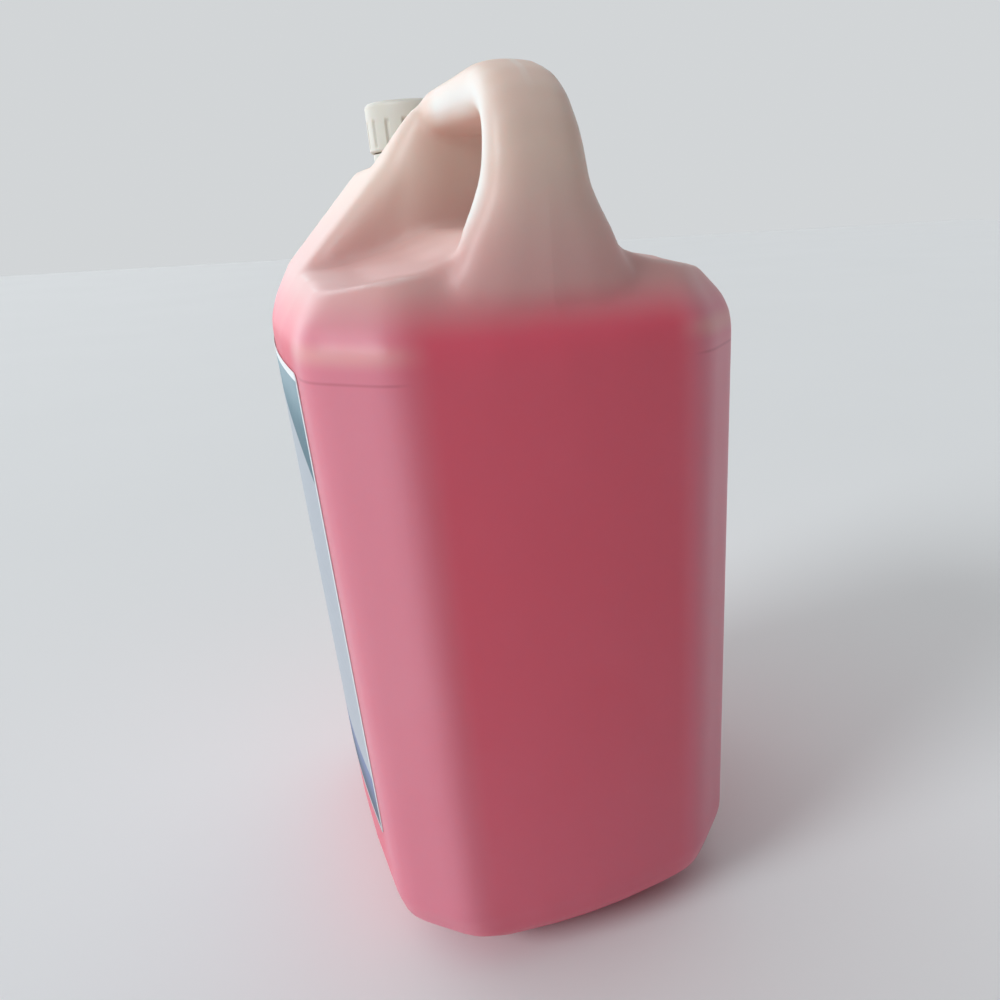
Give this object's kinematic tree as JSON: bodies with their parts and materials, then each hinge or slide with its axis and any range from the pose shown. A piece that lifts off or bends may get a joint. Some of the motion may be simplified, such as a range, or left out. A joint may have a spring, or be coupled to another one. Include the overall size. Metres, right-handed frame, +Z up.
{
  "type": "hand soap refill pack",
  "caption": "Translucent jerry can of pink hand soap with cut corners, a moulded hollow handle, a screw cap with a tamper ring and a label on one wide face.",
  "frame": {"origin": "under the middle of the base, on the plane the can stands on", "axes": "+Z up, +X towards the handle end, -X towards the neck end, -Y out of the label face"},
  "size_m": [0.1856, 0.1371, 0.2855],
  "materials": {
    "natural_polyethylene": "translucent, satin, tinted pink by the soap behind it",
    "soap": "translucent pink liquid",
    "white_plastic": "satin off-white",
    "liner_foam": "matt white foam",
    "label_film": "satin printed film"
  },
  "bodies": {
    "can": {"bottle": "natural_polyethylene", "soap": "soap", "front_label": "label_film", "tamper_ring": "white_plastic"},
    "liner": {"cap_liner": "liner_foam"},
    "cap": {"screw_cap": "white_plastic"}
  },
  "joints": [
    {"name": "cap_lift", "type": "slide", "parent": "can", "child": "liner", "axis": [0, 0, 1], "range_m": [0, 0.0105]},
    {"name": "cap_turn", "type": "hinge", "parent": "liner", "child": "cap", "pos_m": [-0.051, 0, 0.27], "axis": [0, 0, 1], "range_deg": [0, 900]}
  ],
  "couplings": [
    {"joint": "cap_turn", "follows": "cap_lift", "rad_per_m": 1496}
  ]
}
